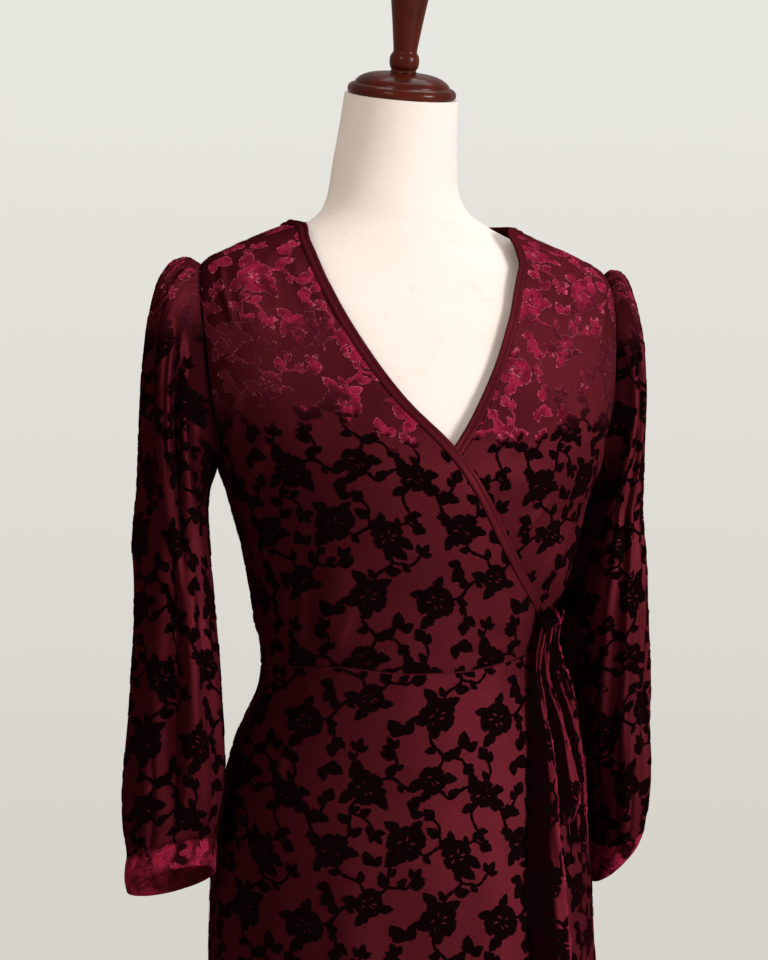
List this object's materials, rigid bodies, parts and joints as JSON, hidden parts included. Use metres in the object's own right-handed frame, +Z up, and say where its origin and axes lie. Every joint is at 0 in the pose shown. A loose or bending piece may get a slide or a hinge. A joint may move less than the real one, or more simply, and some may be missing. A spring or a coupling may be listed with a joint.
{
  "type": "wrap dress on a dress form",
  "caption": "Calf-length wrap dress of burned-out velvet with a V neck, gathered sleeves, cuffs and a tied side, shown on a limbless dress form with a wooden stand.",
  "frame": {"origin": "on the floor, at the middle of the stand's base", "axes": "+Z up; the front of the dress faces -Y; +X points to the wearer's left"},
  "size_m": [0.503, 0.4097, 1.6742],
  "materials": {
    "velvet": "soft velvet pile on a matt ground",
    "velvet_trim": "soft velvet",
    "form_cover": "matt cotton jersey",
    "dark_wood": "polished"
  },
  "bodies": {
    "root": {"bodice_back": "velvet", "bodice_front_left": "velvet", "bodice_front_right": "velvet", "skirt_back": "velvet", "skirt_front_left": "velvet", "skirt_front_right": "velvet", "sleeve_left": "velvet", "sleeve_right": "velvet", "binding_back_neck": "velvet_trim", "binding_left_front": "velvet_trim", "binding_right_front": "velvet_trim", "cuff_left": "velvet_trim", "cuff_right": "velvet_trim", "tie_knot": "velvet_trim", "tie_loop": "velvet_trim", "tie_side": "velvet_trim", "tie_tail_long": "velvet_trim", "tie_tail_short": "velvet_trim", "form_torso": "form_cover", "base": "dark_wood", "finial": "dark_wood", "neck_cap": "dark_wood", "pole": "dark_wood", "pole_collar": "dark_wood"}
  },
  "joints": []
}
